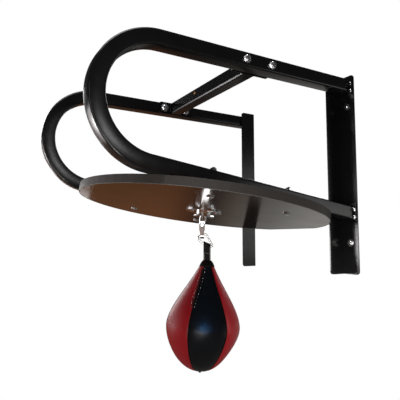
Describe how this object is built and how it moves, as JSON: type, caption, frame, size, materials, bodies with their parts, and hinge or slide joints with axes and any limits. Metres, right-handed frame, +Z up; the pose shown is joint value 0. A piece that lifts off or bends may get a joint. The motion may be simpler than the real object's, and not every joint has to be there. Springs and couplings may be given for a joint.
{
  "type": "speed bag platform",
  "caption": "Wall-hung boxing platform: bent steel side frames carry a round board with a ball-swivel and a teardrop speed bag hung beneath it.",
  "frame": {"origin": "on the wall plane, midway between the two wall angles, level with their lower ends", "axes": "+Z up, +Y into the wall (the room is at -Y), X across the board"},
  "size_m": [0.61, 0.654, 0.725],
  "materials": {
    "frame_paint": "satin black powder coat",
    "zinc": "bright zinc plate",
    "chrome": "polished",
    "board_laminate": "glossy dark laminate on wood-based board",
    "edge_band": "matt dark grey edge strip",
    "bag_red": "semi-gloss coated hide",
    "bag_black": "semi-gloss coated hide",
    "strap_leather": "folded, stitched strap",
    "bladder_rubber": "matt"
  },
  "bodies": {
    "frame": {"wall_angle_right": "frame_paint", "wall_angle_left": "frame_paint", "wall_screw_low_right": "zinc", "wall_screw_top_right": "zinc", "wall_screw_low_left": "zinc", "wall_screw_top_left": "zinc", "side_frame_right": "frame_paint", "side_frame_left": "frame_paint", "end_bracket_top_right": "frame_paint", "end_bolt_top_a_right": "zinc", "end_bolt_top_b_right": "zinc", "end_bracket_top_left": "frame_paint", "end_bolt_top_a_left": "zinc", "end_bolt_top_b_left": "zinc", "end_bracket_low_right": "frame_paint", "end_bolt_low_a_right": "zinc", "end_bolt_low_b_right": "zinc", "end_bracket_low_left": "frame_paint", "end_bolt_low_a_left": "zinc", "end_bolt_low_b_left": "zinc", "cross_brace": "frame_paint", "brace_plate_right": "frame_paint", "brace_plate_left": "frame_paint", "brace_bolt_front_right": "zinc", "brace_nut_front_right": "zinc", "brace_bolt_rear_right": "zinc", "brace_nut_rear_right": "zinc", "brace_bolt_front_left": "zinc", "brace_nut_front_left": "zinc", "brace_bolt_rear_left": "zinc", "brace_nut_rear_left": "zinc", "platform_board": "board_laminate", "board_edge_band": "edge_band", "board_bolt_rear_right": "zinc", "board_nut_rear_right": "zinc", "board_bolt_front_right": "zinc", "board_nut_front_right": "zinc", "board_bolt_rear_left": "zinc", "board_nut_rear_left": "zinc", "board_bolt_front_left": "zinc", "board_nut_front_left": "zinc", "swivel_plate": "chrome", "swivel_housing": "chrome", "swivel_screw_1": "zinc", "swivel_screw_2": "zinc", "swivel_screw_3": "zinc"},
    "spindle": {"swivel_spindle": "chrome", "stirrup_rivet": "chrome"},
    "stirrup": {"swivel_stirrup": "chrome"},
    "link": {"bag_link": "chrome"},
    "bag": {"bag_loop": "strap_leather", "bag_panel_1": "bag_black", "bag_panel_2": "bag_red", "bag_panel_3": "bag_black", "bag_panel_4": "bag_red", "bag_panel_5": "bag_black", "bag_panel_6": "bag_red", "bag_bladder": "bladder_rubber", "bag_valve": "bladder_rubber"}
  },
  "joints": [
    {"name": "spindle_spin", "type": "hinge", "parent": "frame", "child": "spindle", "pos_m": [0, -0.29655, 0.15446], "axis": [0, 0.1416, 0.9899], "continuous": true},
    {"name": "stirrup_swing", "type": "hinge", "parent": "spindle", "child": "stirrup", "pos_m": [0, -0.30158, 0.11932], "axis": [-0.866, 0.5, 0], "range_deg": [-55, 55]},
    {"name": "link_swing", "type": "hinge", "parent": "stirrup", "child": "link", "pos_m": [0, -0.30158, 0.09452], "axis": [0.5, 0.866, 0], "range_deg": [-25, 25]},
    {"name": "bag_swing", "type": "hinge", "parent": "link", "child": "bag", "pos_m": [0.00615, -0.29092, 0.07059], "axis": [0.4615, 0.7994, -0.3846], "range_deg": [-15, 15]}
  ]
}
